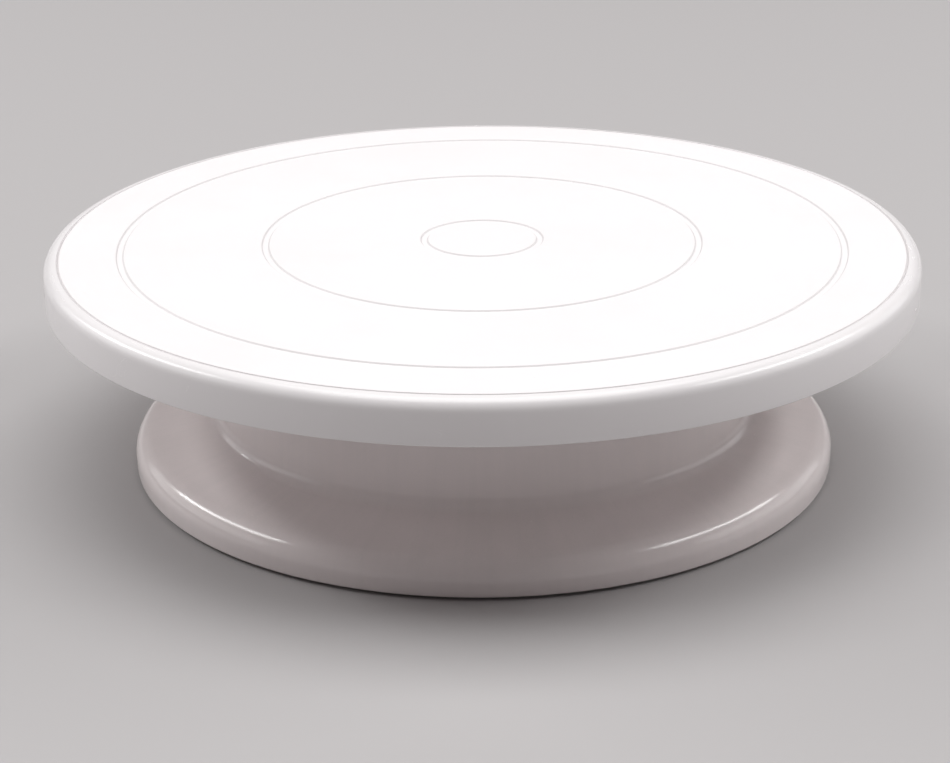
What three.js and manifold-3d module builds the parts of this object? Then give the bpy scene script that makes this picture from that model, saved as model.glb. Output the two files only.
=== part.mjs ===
// Cake-decorating lazy susan: a round plate that turns on a ball ring on top of a hollow, spool-shaped pedestal.
//
// Frame: millimetres, +Z up, origin on the table under the middle of the pedestal. The plate turns about Z.
// From the table up: rubber pads, pedestal, lower race, balls in their cage, upper race, plate.
// A pivot pin moulded into the plate runs in a flanged bush in the pedestal and is held from below by a
// washer, a lock washer and a screw.
import * as THREE from "three";
import { mergeVertices } from "three/addons/utils/BufferGeometryUtils.js";
import Module from "manifold-3d";

const wasm = await Module();
wasm.setup();

// ---- Clearances ----
const seatGap = 0.1; // between pieces that sit on each other and don't move
const rollingGap = 0.1; // between a ball and each race
const fitGap = 0.15; // radial, between a pressed-in piece and its seat
const runningGap = 0.1; // radial, between the pivot pin and its bush
const turningGap = 0.4; // between pieces that turn past each other

// ---- Pedestal ----
const footRadius = 115; // widest part of the foot
const footDraft = 0.4; // the foot's edge leans in by this at the bottom
const footEdge = 10.4; // height of the foot's edge, up to the corner that its shoulder rounds off
const shoulderRadius = 7.2; // rounding between the foot's edge and the flare
const flareWidth = 27.5; // from the foot's edge in to the column
const flareRise = 5.9; // climb of the flare over that width
const coveRadius = 5; // hollow rounding between the flare and the column
const columnDraft = 2; // the column narrows by this towards the top
const deckHeight = 60; // from the pedestal's bottom edge to the top of its deck
const deckEdgeRadius = 2; // rounding of the deck's outer edge
const deckThickness = 3.5;
const shellWall = 2.6; // moulded wall of the foot, the flare and the column
const bottomEdgeRadius = 0.8;
const ribThickness = 2; // every rib of the pedestal and the plate
const webCount = 8; // radial webs under the deck
const webDepth = 10; // height of the webs and of the ring that crosses them
const gussetCount = 6; // radial ribs under the flare, each through the boss of a pad
const gussetLift = 3; // the gussets stop this far above the pedestal's bottom edge

// ---- Rubber pads ----
const padCount = gussetCount;
const padRadius = 7;
const padProtrusion = 1; // how far a pad stands out below the pedestal
const padRecess = 2; // how deep its seat is
const padEdge = 0.6; // chamfer round a pad's lower edge
const padSeatWall = 1.5; // wall of the boss round a pad
const padInset = 14; // from the foot's edge in to the middle of a pad

// ---- Ball ring ----
const ballCount = 12;
const ballRadius = 4;
const raceInset = 23.5; // from the top of the column in to the circle that the balls run on
const raceWidth = 14;
const raceThickness = 1.1;
const cageThickness = 2.8;
const cageMargin = 2.4; // of the cage, round a ball's pocket
const pocketGap = 0.3; // radial, between a ball and its pocket
const guideWall = 2; // wall on the deck that keeps the cage central
const guideOverlap = 1.3; // how far that wall reaches up past the cage's underside
const trackWall = 2; // walls under the plate that hold the upper race
const trackWallDepth = 3;

// ---- Plate ----
const plateRadius = 140;
const panelThickness = 2.6;
const rimHeight = 13.7; // of the plate's turned-down rim
const rimWall = 2.6;
const rimRounding = 4; // between the working surface and the rim
const innerRounding = 1.5; // between the panel's underside and the rim
const plateRibCount = 12;
const plateRibDepth = 4;
const grooveDepth = 0.4; // of every groove in the working surface
const guideGrooveWidth = 2.5;
const edgeGrooveWidth = 0.8;
const edgeGrooveInset = 5; // from the rim in to the fine groove that borders the working surface
const outerGuideInset = 25.4; // from the rim in to the outer guide groove
const middleGuideRadius = 68.4;
const centreGuideRadius = 17.4;

// ---- Pivot ----
const pinRadius = 4;
const pinHeadRadius = 6;
const pinHeadHeight = 2.5;
const pinCover = 0.4; // the pin's head stops this far under the panel's underside
const plateBossWall = 5; // of the plate's boss, round the pin's head
const bushWall = 2;
const bushFlangeWidth = 3;
const bushFlangeThickness = 1.5;
const hubWall = 5; // of the pedestal's hub, round the bush
const hubDrop = 24.5; // how far the hub reaches below the deck's underside
const washerRadius = 10;
const washerThickness = 1.5;
const lockWasherWidth = 1.9;
const lockWasherThickness = 1;
const lockWasherSlit = 1.2;
const screwRadius = 2;
const screwLength = 9;
const screwHeadRadius = 4;
const screwHeadHeight = 2.6;
const screwHeadRounding = 1;
const recessLength = 4.6; // of each arm of the cross in the screw's head
const recessWidth = 1;
const recessDepth = 1.4;

// ---- Facets ----
const bigFacets = 40; // round the plate and the pedestal
const smallFacets = 24; // round the pivot
const padFacets = 16; // round a rubber pad
const pocketFacets = 12; // round a ball's pocket in the cage
const ballFacets = 10; // round a ball's middle
const ballBands = 6; // from the top of a ball to its bottom
const cornerError = 0.25; // how far a facet may stray from the arc of a rounded corner

// ---- Heights and radii that follow from the sizes ----
const pedestalBottom = padProtrusion;
const deckTop = pedestalBottom + deckHeight;
const deckUnderside = deckTop - deckThickness;
const columnFootRadius = footRadius - flareWidth;
const columnTopRadius = columnFootRadius - columnDraft;
const pitchRadius = columnTopRadius - raceInset;
const raceInner = pitchRadius - raceWidth / 2;
const raceOuter = pitchRadius + raceWidth / 2;
const ballHeight = deckTop + rollingGap + ballRadius;
const upperRaceBottom = ballHeight + ballRadius + rollingGap;
const panelUnderside = upperRaceBottom + raceThickness + seatGap;
const panelTop = panelUnderside + panelThickness;
const rimBottom = panelTop - rimHeight;
const rimInner = plateRadius - rimWall;
const ribBottom = panelUnderside - plateRibDepth;
const pocketRadius = ballRadius + pocketGap;
const cageBottom = ballHeight - cageThickness / 2;
const cageInner = pitchRadius - pocketRadius - cageMargin;
const cageOuter = pitchRadius + pocketRadius + cageMargin;
const guideInner = Math.max(cageOuter, raceOuter) + 2 * turningGap;
const padPitchRadius = footRadius - padInset;
const bushOuter = pinRadius + runningGap + bushWall;
const bushSeat = bushOuter + fitGap;
const hubRadius = bushSeat + hubWall;
const hubBottom = deckUnderside - hubDrop;
const flangeBottom = deckTop + seatGap;
const flangeTop = flangeBottom + bushFlangeThickness;
const plateBossBottom = flangeTop + turningGap;
const plateBossRadius = pinHeadRadius + fitGap + plateBossWall;
const pinTop = panelUnderside - pinCover;
const pinBottom = hubBottom - turningGap;
const washerTop = pinBottom - seatGap;
const washerBottom = washerTop - washerThickness;
const lockWasherTop = washerBottom - seatGap;
const lockWasherBottom = lockWasherTop - lockWasherThickness;
const screwHeadTop = lockWasherBottom - seatGap;
const screwTop = screwHeadTop + screwLength;
const deepCut = deckHeight; // taller than any piece that a cutter goes through

// ---- Shapes ----

/** The corner of an outline, with the radius that rounds it. */
const corner = (radius, height, rounding = 0) => ({ at: new THREE.Vector2(radius, height), rounding });

/** Points of the arc that rounds the corner between its two neighbours, or the corner itself. */
function roundedCorner(before, here, after) {
  if (!here.rounding) return [here.at];
  const back = before.at.clone().sub(here.at).normalize();
  const ahead = after.at.clone().sub(here.at).normalize();
  const half = Math.acos(back.dot(ahead)) / 2;
  const middle = back.clone().add(ahead).normalize();
  const centre = here.at.clone().addScaledVector(middle, here.rounding / Math.sin(half));
  const tangent = here.rounding / Math.tan(half);
  const start = here.at.clone().addScaledVector(back, tangent).sub(centre);
  const sweep = Math.sign(back.cross(ahead)) * (2 * half - Math.PI);
  const widestStep = 2 * Math.acos(1 - cornerError / here.rounding);
  const steps = Math.ceil(Math.abs(sweep) / widestStep);
  const origin = new THREE.Vector2();
  return Array.from({ length: steps + 1 }, (_, i) =>
    start.clone().rotateAround(origin, (sweep * i) / steps).add(centre),
  );
}

/** An outline's points, in order, with its corners rounded. */
function outline(corners) {
  const count = corners.length;
  return corners.flatMap((here, i) =>
    roundedCorner(corners[(i + count - 1) % count], here, corners[(i + 1) % count]),
  );
}

/** A closed three.js geometry as a manifold-3d solid. */
function solidOf(geometry) {
  const bare = geometry.clone();
  bare.deleteAttribute("normal");
  bare.deleteAttribute("uv");
  const merged = mergeVertices(bare);
  const corners = merged.index.array;
  const triangles = [];
  for (let i = 0; i < corners.length; i += 3) {
    const [a, b, c] = corners.subarray(i, i + 3);
    if (a !== b && b !== c && c !== a) triangles.push(a, b, c);
  }
  return new wasm.Manifold(
    new wasm.Mesh({
      numProp: 3,
      vertProperties: merged.attributes.position.array,
      triVerts: new Uint32Array(triangles),
    }),
  );
}

/** A solid turned from an outline of radius and height, given anticlockwise, about the Z axis. */
function turned(corners, facets = bigFacets) {
  const points = outline(corners);
  const closed = [...points, points[0].clone()];
  return solidOf(new THREE.LatheGeometry(closed, facets).rotateX(Math.PI / 2));
}

/** A round bar standing on the Z axis between two heights, or a tube if it has a bore. */
function bar(radius, bottom, top, facets = smallFacets, bore = 0) {
  return turned([corner(bore, bottom), corner(radius, bottom), corner(radius, top), corner(bore, top)], facets);
}

/** A flat rib that runs outwards from the Z axis at an angle, between two radii and two heights. */
function radialRib(angle, inner, outer, bottom, top) {
  const shape = new THREE.BoxGeometry(outer - inner, ribThickness, top - bottom);
  shape.translate((inner + outer) / 2, 0, (bottom + top) / 2).rotateZ(angle);
  return solidOf(shape);
}

/** Angles of things spaced evenly round the Z axis, the first one at a given angle. */
const around = (count, first = 0) =>
  Array.from({ length: count }, (_, i) => first + (2 * Math.PI * i) / count);

/** A solid moved out to a radius at an angle round the Z axis. */
const movedOut = (solid, radius, angle) =>
  solid.translate([radius * Math.cos(angle), radius * Math.sin(angle), 0]);

const joined = (first, ...others) => others.reduce((whole, other) => whole.add(other), first);
const cutBy = (first, ...cutters) => cutters.reduce((whole, cutter) => whole.subtract(cutter), first);

/** The mesh of a manifold-3d solid, as a named node with its own material. */
function node(name, solid, look) {
  const mesh = solid.getMesh();
  const geometry = new THREE.BufferGeometry();
  geometry.setAttribute("position", new THREE.BufferAttribute(mesh.vertProperties, 3));
  geometry.setIndex(new THREE.BufferAttribute(mesh.triVerts, 1));
  const faceted = geometry.toNonIndexed();
  faceted.computeVertexNormals();
  const made = new THREE.Mesh(faceted, new THREE.MeshStandardMaterial(look));
  made.name = name;
  return made;
}

// ---- Pedestal ----

/** The pedestal's outside, filled in: foot, shoulder, flare, column and deck. */
function pedestalOutside() {
  return turned([
    corner(0, pedestalBottom),
    corner(footRadius - footDraft, pedestalBottom, bottomEdgeRadius),
    corner(footRadius, pedestalBottom + footEdge, shoulderRadius),
    corner(columnFootRadius, pedestalBottom + footEdge + flareRise, coveRadius),
    corner(columnTopRadius, deckTop, deckEdgeRadius),
    corner(0, deckTop),
  ]);
}

/** The space inside the pedestal's shell, open downwards. */
function pedestalInside() {
  const below = pedestalBottom - padProtrusion;
  const innerFoot = footRadius - footDraft - shellWall;
  const flareLow = pedestalBottom + footEdge - shellWall;
  return turned([
    corner(0, below),
    corner(innerFoot, below),
    corner(innerFoot, flareLow, shoulderRadius - shellWall),
    corner(columnFootRadius - shellWall, flareLow + flareRise, coveRadius + shellWall),
    corner(columnTopRadius - shellWall, deckUnderside),
    corner(0, deckUnderside),
  ]);
}

/** Webs under the deck, a ring under the race, gussets under the flare, pad bosses and the hub. */
function pedestalRibs() {
  const columnInner = columnFootRadius - shellWall / 2;
  const webBottom = deckUnderside - webDepth;
  const gussetBottom = pedestalBottom + gussetLift;
  const gussetTop = pedestalBottom + footEdge + flareRise;
  const bossRadius = padRadius + fitGap + padSeatWall;
  const webs = around(webCount).map((angle) => radialRib(angle, bushSeat, columnInner, webBottom, deckTop));
  const gussets = around(gussetCount).map((angle) =>
    radialRib(angle, columnTopRadius - shellWall, footRadius, gussetBottom, gussetTop),
  );
  const ring = bar(pitchRadius + ribThickness / 2, webBottom, deckTop, bigFacets, pitchRadius - ribThickness / 2);
  const boss = bar(bossRadius, pedestalBottom, gussetTop, padFacets);
  const bosses = around(padCount).map((angle) => movedOut(boss, padPitchRadius, angle));
  const hub = bar(hubRadius, hubBottom, deckTop);
  return joined(hub, ring, ...webs, ...gussets, ...bosses);
}

function pedestal() {
  const outside = pedestalOutside();
  const shell = outside.subtract(pedestalInside());
  const guide = bar(guideInner + guideWall, deckUnderside, cageBottom + guideOverlap, bigFacets, guideInner);
  const raceSeat = bar(
    raceOuter + fitGap,
    deckTop - raceThickness - seatGap,
    deckTop + deepCut,
    bigFacets,
    raceInner - fitGap,
  );
  const padSeat = bar(padRadius + fitGap, pedestalBottom - deepCut, pedestalBottom + padRecess, padFacets);
  return cutBy(
    joined(shell, pedestalRibs().intersect(outside), guide),
    raceSeat,
    bar(bushSeat, -deepCut, deckTop + deepCut),
    ...around(padCount).map((angle) => movedOut(padSeat, padPitchRadius, angle)),
  );
}

function rubberPad() {
  const top = pedestalBottom + padRecess - seatGap;
  return turned(
    [
      corner(0, 0),
      corner(padRadius - padEdge, 0),
      corner(padRadius, padEdge),
      corner(padRadius, top),
      corner(0, top),
    ],
    padFacets,
  );
}

// ---- Ball ring ----

const race = (bottom) => bar(raceOuter, bottom, bottom + raceThickness, bigFacets, raceInner);

/** A flat ring with a round pocket for each ball. */
function ballCage() {
  const ring = bar(cageOuter, cageBottom, cageBottom + cageThickness, bigFacets, cageInner);
  const pocket = bar(pocketRadius, cageBottom - cageThickness, cageBottom + 2 * cageThickness, pocketFacets);
  return cutBy(ring, ...around(ballCount).map((angle) => movedOut(pocket, pitchRadius, angle)));
}

// ---- Plate ----

/** The corners of a shallow V groove in the working surface, met on the way in towards the axis. */
const groove = (inner, width) => [
  corner(inner + width, panelTop),
  corner(inner + width / 2, panelTop - grooveDepth),
  corner(inner, panelTop),
];

/** The panel with its rounded, turned-down rim and the grooves in its working surface. */
function plateShell() {
  return turned([
    corner(0, panelUnderside),
    corner(rimInner, panelUnderside, innerRounding),
    corner(rimInner, rimBottom),
    corner(plateRadius, rimBottom),
    corner(plateRadius, panelTop, rimRounding),
    ...groove(plateRadius - edgeGrooveInset, edgeGrooveWidth),
    ...groove(plateRadius - outerGuideInset, guideGrooveWidth),
    ...groove(middleGuideRadius, guideGrooveWidth),
    ...groove(centreGuideRadius, guideGrooveWidth),
    corner(0, panelTop),
  ]);
}

/** Walls that hold the upper race, and the radial and ring ribs between the boss and the rim. */
function plateRibs() {
  const inPanel = panelUnderside + panelThickness / 2;
  const trackBottom = panelUnderside - trackWallDepth;
  const innerTrack = raceInner - fitGap;
  const outerTrack = raceOuter + fitGap;
  const ringRadius = (outerTrack + rimInner) / 2;
  return joined(
    bar(innerTrack, trackBottom, inPanel, bigFacets, innerTrack - trackWall),
    bar(outerTrack + trackWall, trackBottom, inPanel, bigFacets, outerTrack),
    bar(ringRadius + ribThickness / 2, ribBottom, inPanel, bigFacets, ringRadius - ribThickness / 2),
    ...around(plateRibCount).flatMap((angle) => [
      radialRib(angle, pinHeadRadius, innerTrack - trackWall / 2, ribBottom, inPanel),
      radialRib(angle, outerTrack + trackWall / 2, rimInner + rimWall / 2, ribBottom, inPanel),
    ]),
  );
}

/** The space that the pivot pin fills in the plate's boss, open at the bottom. */
function pinSeat() {
  const shank = pinRadius + fitGap;
  const head = pinHeadRadius + fitGap;
  const shoulder = pinTop - pinHeadHeight - seatGap;
  return turned(
    [
      corner(0, plateBossBottom - deepCut),
      corner(shank, plateBossBottom - deepCut),
      corner(shank, shoulder),
      corner(head, shoulder),
      corner(head, pinTop + seatGap),
      corner(0, pinTop + seatGap),
    ],
    smallFacets,
  );
}

function plate() {
  const boss = bar(plateBossRadius, plateBossBottom, panelUnderside + panelThickness / 2);
  return joined(plateShell(), plateRibs(), boss).subtract(pinSeat());
}

// ---- Pivot ----

/** A headed pin with a blind hole in its lower end for the screw. */
function pivotPin() {
  const hole = screwRadius + fitGap;
  const shoulder = pinTop - pinHeadHeight;
  const holeTop = screwTop + seatGap;
  return turned(
    [
      corner(0, holeTop),
      corner(hole, holeTop),
      corner(hole, pinBottom),
      corner(pinRadius, pinBottom),
      corner(pinRadius, shoulder),
      corner(pinHeadRadius, shoulder),
      corner(pinHeadRadius, pinTop),
      corner(0, pinTop),
    ],
    smallFacets,
  );
}

/** A plain bush with a flange that sits on the deck. */
function pivotBush() {
  const bore = pinRadius + runningGap;
  return turned(
    [
      corner(bore, hubBottom),
      corner(bushOuter, hubBottom),
      corner(bushOuter, flangeBottom),
      corner(bushOuter + bushFlangeWidth, flangeBottom),
      corner(bushOuter + bushFlangeWidth, flangeTop),
      corner(bore, flangeTop),
    ],
    smallFacets,
  );
}

const flatWasher = () =>
  bar(washerRadius, washerBottom, washerTop, smallFacets, screwRadius + fitGap);

/** A split ring: a small washer with a slit through one side. */
function lockWasher() {
  const bore = screwRadius + fitGap;
  const ring = bar(bore + lockWasherWidth, lockWasherBottom, lockWasherTop, smallFacets, bore);
  const slit = new THREE.BoxGeometry(2 * (bore + lockWasherWidth), lockWasherSlit, deepCut);
  slit.translate(bore + lockWasherWidth, 0, lockWasherBottom);
  return ring.subtract(solidOf(slit));
}

/** A pan-headed screw, pointing up, with a cross recess in its head. */
function pivotScrew() {
  const headBottom = screwHeadTop - screwHeadHeight;
  const body = turned(
    [
      corner(0, headBottom),
      corner(screwHeadRadius, headBottom, screwHeadRounding),
      corner(screwHeadRadius, screwHeadTop),
      corner(screwRadius, screwHeadTop),
      corner(screwRadius, screwTop),
      corner(0, screwTop),
    ],
    smallFacets,
  );
  const arm = new THREE.BoxGeometry(recessLength, recessWidth, 2 * recessDepth);
  arm.translate(0, 0, headBottom);
  return cutBy(body, solidOf(arm), solidOf(arm.clone().rotateZ(Math.PI / 2)));
}

// ---- Assembly ----

const whiteSatin = { color: 0xf1eeee, roughness: 0.42, metalness: 0 };
const whiteGloss = { color: 0xf0ecec, roughness: 0.18, metalness: 0 };
const acetal = { color: 0xe2dccb, roughness: 0.4, metalness: 0 };
const brightSteel = { color: 0xc4c6c8, roughness: 0.2, metalness: 1 };
const zincSteel = { color: 0xb4b6b8, roughness: 0.38, metalness: 1 };
const greyRubber = { color: 0x4a4a4c, roughness: 0.85, metalness: 0 };

const turntable = new THREE.Group();
turntable.add(
  node("pedestal_base", pedestal(), whiteGloss),
  node("lower_race", race(deckTop - raceThickness), brightSteel),
  node("ball_cage", ballCage(), acetal),
  node("upper_race", race(upperRaceBottom), brightSteel),
  node("turntable_plate", plate(), whiteSatin),
  node("pivot_pin", pivotPin(), brightSteel),
  node("pivot_bush", pivotBush(), acetal),
  node("retaining_washer", flatWasher(), zincSteel),
  node("lock_washer", lockWasher(), zincSteel),
  node("retaining_screw", pivotScrew(), zincSteel),
);

const numbered = (name, i) => `${name}_${String(i + 1).padStart(2, "0")}`;

const ball = solidOf(new THREE.SphereGeometry(ballRadius, ballFacets, ballBands).rotateX(Math.PI / 2));
around(ballCount).forEach((angle, i) => {
  const made = node(numbered("ball", i), ball, brightSteel);
  made.position.set(pitchRadius * Math.cos(angle), pitchRadius * Math.sin(angle), ballHeight);
  made.rotation.z = angle;
  turntable.add(made);
});

const pad = rubberPad();
around(padCount).forEach((angle, i) => {
  const made = node(numbered("foot_pad", i), pad, greyRubber);
  made.position.set(padPitchRadius * Math.cos(angle), padPitchRadius * Math.sin(angle), 0);
  turntable.add(made);
});

export default turntable;
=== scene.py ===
import math

import bpy
import numpy as np
from mathutils import Matrix, Vector


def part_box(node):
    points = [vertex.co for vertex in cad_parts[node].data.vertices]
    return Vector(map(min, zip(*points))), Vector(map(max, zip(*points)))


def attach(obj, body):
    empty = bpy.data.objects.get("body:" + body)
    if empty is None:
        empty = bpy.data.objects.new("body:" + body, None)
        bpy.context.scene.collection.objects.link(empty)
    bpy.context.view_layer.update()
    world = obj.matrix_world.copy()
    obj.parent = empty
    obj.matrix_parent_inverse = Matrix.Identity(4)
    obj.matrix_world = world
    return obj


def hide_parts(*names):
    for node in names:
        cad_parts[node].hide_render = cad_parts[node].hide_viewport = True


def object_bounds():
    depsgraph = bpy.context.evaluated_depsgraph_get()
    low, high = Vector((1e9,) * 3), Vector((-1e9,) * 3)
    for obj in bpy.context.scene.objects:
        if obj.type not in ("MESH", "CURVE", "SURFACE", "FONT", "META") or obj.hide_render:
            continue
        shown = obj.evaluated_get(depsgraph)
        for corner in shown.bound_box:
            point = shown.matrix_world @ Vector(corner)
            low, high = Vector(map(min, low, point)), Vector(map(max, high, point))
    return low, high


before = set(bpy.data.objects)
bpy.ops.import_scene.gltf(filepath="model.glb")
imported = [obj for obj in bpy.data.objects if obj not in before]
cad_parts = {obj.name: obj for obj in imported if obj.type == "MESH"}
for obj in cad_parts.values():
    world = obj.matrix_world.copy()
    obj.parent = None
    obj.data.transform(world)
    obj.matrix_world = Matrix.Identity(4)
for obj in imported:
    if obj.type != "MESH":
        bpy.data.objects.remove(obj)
cadLow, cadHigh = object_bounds()
print("frame loaded:", len(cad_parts), "nodes")

# Every piece is made of closed shells. Their points lie in grids, worked out by formulas.

# Facets round one full turn.
facets = {"plate": 288, "pedestal": 240, "bearing": 192, "small": 72, "pad": 64, "ball": 48}


def unit(v):
    return v / np.maximum(np.linalg.norm(v, axis=-1, keepdims=True), 1e-12)


def roundedOutline(corners, arcPoints=7):
    # Each corner (radius, height, rounding) becomes the arc that touches its two sides.
    # A rounding of 0, or none, keeps the point.
    corners = np.array([(*c, 0)[:3] for c in corners], float)
    at, rounding = corners[:, :2], corners[:, 2]
    back = unit(np.roll(at, 1, axis=0) - at)
    ahead = unit(np.roll(at, -1, axis=0) - at)
    half = np.arccos(np.clip((back * ahead).sum(axis=1), -1, 1)) / 2
    middle = unit(back + ahead)
    centre = at + middle * (rounding / np.maximum(np.sin(half), 1e-9))[:, None]
    start = at + back * (rounding / np.maximum(np.tan(half), 1e-9))[:, None] - centre
    side = back[:, 0] * ahead[:, 1] - back[:, 1] * ahead[:, 0]
    turn = (np.sign(side) * (2 * half - np.pi))[:, None] * np.linspace(0, 1, arcPoints)
    x = centre[:, :1] + start[:, :1] * np.cos(turn) - start[:, 1:] * np.sin(turn)
    y = centre[:, 1:] + start[:, :1] * np.sin(turn) + start[:, 1:] * np.cos(turn)
    points = np.stack([x, y], axis=-1).reshape(-1, 2)
    step = np.linalg.norm(points - np.roll(points, 1, axis=0), axis=1)
    return points[step > 1e-7]


def gridShell(points):
    # A grid of points becomes quads between neighbours.
    rows, columns = points.shape[:2]
    index = np.arange(rows * columns).reshape(rows, columns)
    quads = np.stack([index[:-1, :-1], index[1:, :-1], index[1:, 1:], index[:-1, 1:]], axis=-1)
    return points.reshape(-1, 3), quads.reshape(-1, 4)


def outward(shell):
    # A closed shell that encloses a negative volume is inside out, so its faces are turned round.
    points, quads = shell
    a, b, c, d = (points[quads[:, k]] for k in range(4))
    volume = (np.cross(a, b) * c).sum() + (np.cross(a, c) * d).sum()
    return (points, quads) if volume > 0 else (points, quads[:, ::-1])


def revolved(outline, steps):
    # An outline point (radius, height) at the angle a lies at (radius cos a, radius sin a, height).
    closed = np.vstack([outline, outline[:1]])
    angle = np.linspace(0, 2 * np.pi, steps + 1)[:, None]
    radius, height = closed[:, 0], closed[:, 1]
    x, y = radius * np.cos(angle), radius * np.sin(angle)
    return outward(gridShell(np.stack([x, y, np.broadcast_to(height, x.shape)], axis=-1)))


def swept(sections):
    # Closed cross-sections, one after another along a path. Both ends shrink to their middles,
    # which closes them.
    closed = np.concatenate([sections, sections[:, :1]], axis=1)
    ends = [np.broadcast_to(closed[k, :-1].mean(axis=0), closed[k].shape)[None] for k in (0, -1)]
    return outward(gridShell(np.concatenate([ends[0], closed, ends[1]])))


def turned(shell, angle):
    points, quads = shell
    c, s = math.cos(angle), math.sin(angle)
    return points @ np.array([[c, s, 0], [-s, c, 0], [0, 0, 1]]), quads


def moved(shell, offset):
    return shell[0] + np.array(offset, float), shell[1]


def around(shell, count):
    return [turned(shell, 2 * math.pi * k / count) for k in range(count)]


def meshOf(name, shells):
    # Points in the same place become one, so seams and poles close, and a quad that loses a corner
    # is a triangle.
    offsets = np.cumsum([0] + [len(points) for points, _ in shells[:-1]])
    points = np.vstack([points for points, _ in shells])
    quads = np.vstack([quads + offset for (_, quads), offset in zip(shells, offsets)])
    _, kept, merged = np.unique(np.round(points, 7), axis=0, return_index=True, return_inverse=True)
    quads = merged.reshape(-1)[quads]
    repeats = quads == np.roll(quads, -1, axis=1)
    whole = quads[~repeats.any(axis=1)]
    single = repeats.sum(axis=1) == 1
    triangles = quads[single][~repeats[single]].reshape(-1, 3)
    used, renumbered = np.unique(np.concatenate([whole.ravel(), triangles.ravel()]), return_inverse=True)
    faces = renumbered[: whole.size].reshape(-1, 4).tolist()
    faces += renumbered[whole.size :].reshape(-1, 3).tolist()
    mesh = bpy.data.meshes.new(name)
    mesh.from_pydata(points[kept][used].tolist(), [], faces)
    return mesh


def objectOf(name, shells):
    made = bpy.data.objects.new(name, meshOf(name, shells))
    bpy.context.scene.collection.objects.link(made)
    return made


def cutAway(piece, *tools):
    # Takes closed shells away from a piece, one after another.
    for shell in tools:
        tool = objectOf("tool", [shell])
        cut = piece.modifiers.new("cut", "BOOLEAN")
        cut.operation, cut.solver, cut.object = "DIFFERENCE", "MANIFOLD", tool
        evaluated = piece.evaluated_get(bpy.context.evaluated_depsgraph_get())
        result = bpy.data.meshes.new_from_object(evaluated)
        piece.modifiers.clear()
        piece.data = result
        bpy.data.objects.remove(tool)


def finish(piece, body, node, slot, material, sharpAngle=32):
    # Smooth shading, broken at real edges; then the piece takes the CAD node's place and its body.
    mesh = piece.data
    mesh.polygons.foreach_set("use_smooth", np.ones(len(mesh.polygons), bool))
    mesh.set_sharp_from_angle(angle=math.radians(sharpAngle))
    mesh.materials.clear()
    mesh.materials.append(material)
    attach(piece, body)
    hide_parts(node)
    return piece


def boxOf(node):
    low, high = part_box(node)
    return np.array(low), np.array(high)


def newGroup(name, inputs, outputs):
    tree = bpy.data.node_groups.new(name, "ShaderNodeTree")
    for label, kind, value in inputs:
        socket = tree.interface.new_socket(label, in_out="INPUT", socket_type=kind)
        if value is not None:
            socket.default_value = value
    for label, kind in outputs:
        tree.interface.new_socket(label, in_out="OUTPUT", socket_type=kind)
    return tree, tree.nodes.new("NodeGroupInput"), tree.nodes.new("NodeGroupOutput")


def mathNode(tree, operation, a, b=None, clamp=False):
    node = tree.nodes.new("ShaderNodeMath")
    node.operation, node.use_clamp = operation, clamp
    for socket, value in zip(node.inputs, (a, b)):
        if isinstance(value, (int, float)):
            socket.default_value = value
        elif value is not None:
            tree.links.new(value, socket)
    return node.outputs[0]


def ramp(tree, value, low, high, toLow=0.0, toHigh=1.0):
    node = tree.nodes.new("ShaderNodeMapRange")
    node.interpolation_type = "SMOOTHSTEP"
    tree.links.new(value, node.inputs["Value"])
    limits = zip(("From Min", "From Max", "To Min", "To Max"), (low, high, toLow, toHigh))
    for label, number in limits:
        node.inputs[label].default_value = number
    return node.outputs["Result"]


def noise(tree, vector, scale, detail=2.0, roughness=0.5, distortion=0.0):
    node = tree.nodes.new("ShaderNodeTexNoise")
    tree.links.new(vector, node.inputs["Vector"])
    values = {"Scale": scale, "Detail": detail, "Roughness": roughness, "Distortion": distortion}
    for label, value in values.items():
        if isinstance(value, (int, float)):
            node.inputs[label].default_value = value
        else:
            tree.links.new(value, node.inputs[label])
    return node.outputs["Fac"]


def mixColour(tree, factor, a, b):
    node = tree.nodes.new("ShaderNodeMix")
    node.data_type = "RGBA"
    for socket, value in zip((node.inputs[0], node.inputs[6], node.inputs[7]), (factor, a, b)):
        if isinstance(value, (int, float)):
            socket.default_value = value
        elif isinstance(value, tuple):
            socket.default_value = (*value, 1)
        else:
            tree.links.new(value, socket)
    return node.outputs[2]


def components(tree, vector):
    node = tree.nodes.new("ShaderNodeSeparateXYZ")
    tree.links.new(vector, node.inputs[0])
    return node.outputs


def lengthOf(tree, a, b):
    squares = mathNode(tree, "ADD", mathNode(tree, "MULTIPLY", a, a), mathNode(tree, "MULTIPLY", b, b))
    return mathNode(tree, "SQRT", squares)


def facingHeight(tree):
    # How far the surface looks up: 1 for straight up, -1 for straight down.
    return components(tree, tree.nodes.new("ShaderNodeNewGeometry").outputs["Normal"])[2]


def polarGroup():
    # Radius, angle and height of a point about the turntable's axis.
    tree, given, out = newGroup(
        "polarPlace", [("Vector", "NodeSocketVector", None)],
        [("Radius", "NodeSocketFloat"), ("Angle", "NodeSocketFloat"), ("Height", "NodeSocketFloat")])
    x, y, z = components(tree, given.outputs["Vector"])
    tree.links.new(lengthOf(tree, x, y), out.inputs["Radius"])
    tree.links.new(mathNode(tree, "ARCTAN2", y, x), out.inputs["Angle"])
    tree.links.new(z, out.inputs["Height"])
    return tree


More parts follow.
